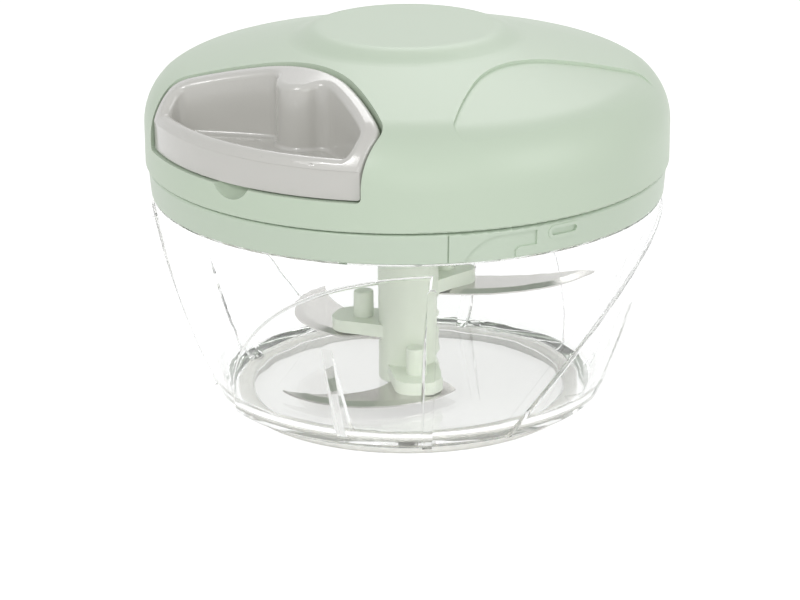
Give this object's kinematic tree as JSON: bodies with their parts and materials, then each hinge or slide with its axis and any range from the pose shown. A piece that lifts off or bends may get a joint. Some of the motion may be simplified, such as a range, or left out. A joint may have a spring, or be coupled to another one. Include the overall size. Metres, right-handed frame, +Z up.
{
  "type": "pull cord food chopper",
  "caption": "Hand food chopper: clear bowl with swirl ribs, bayonet lid, pull handle on a cord that spins a bladed hub.",
  "frame": {"origin": "middle of the foot ring's underside, on the axis of the bowl", "axes": "+Z up along the axis of the bowl and the blades, -Y towards the front, with the pull handle at the front left"},
  "size_m": [0.125, 0.125, 0.092],
  "materials": {
    "clear_plastic": "clear",
    "green_plastic": "satin",
    "grey_plastic": "gloss",
    "cream_rubber": "matt",
    "clear_rubber": "matt",
    "white_plastic": "satin",
    "blade_steel": "polished",
    "steel": "satin",
    "cord": "braided"
  },
  "bodies": {
    "bowl": {"bowl": "clear_plastic", "foot_ring": "cream_rubber", "pivot_pin": "steel"},
    "lid": {"lid_cover": "green_plastic", "lid_base": "green_plastic", "lid_seal": "clear_rubber", "cover_screws": "steel", "shaft_bush": "white_plastic", "cord_guide": "steel", "pull_cord": "cord"},
    "spool": {"cord_spool": "white_plastic", "cord_winding": "cord", "power_spring": "steel", "spring_lid": "white_plastic"},
    "rotor": {"drive_shaft": "white_plastic", "clutch_plate": "white_plastic", "shaft_screw": "steel", "blade_hub": "green_plastic", "hub_bush": "white_plastic", "blade_lower": "blade_steel", "blade_middle": "blade_steel", "blade_upper": "blade_steel"},
    "handle": {"pull_handle": "grey_plastic", "handle_plug": "grey_plastic", "cord_knot": "cord"}
  },
  "joints": [
    {"name": "lid_twist", "type": "hinge", "parent": "bowl", "child": "lid", "pos_m": [0, 0, 0.0588], "axis": [0, 0, 1], "range_deg": [0, 18]},
    {"name": "handle_pull", "type": "slide", "parent": "lid", "child": "handle", "axis": [-0.6561, -0.7547, 0], "range_m": [0, 0.5], "stiffness_N_per_m": 6, "springref_m": -0.3},
    {"name": "spool_spin", "type": "hinge", "parent": "lid", "child": "spool", "pos_m": [0, 0, 0.076], "axis": [0, 0, 1], "range_deg": [-1, 1597]},
    {"name": "blade_spin", "type": "hinge", "parent": "lid", "child": "rotor", "pos_m": [0, 0, 0.03], "axis": [0, 0, 1], "range_deg": [-1, 1597]}
  ],
  "couplings": [
    {"joint": "spool_spin", "follows": "handle_pull", "rad_per_m": 55.556},
    {"joint": "blade_spin", "follows": "handle_pull", "rad_per_m": 55.556}
  ]
}
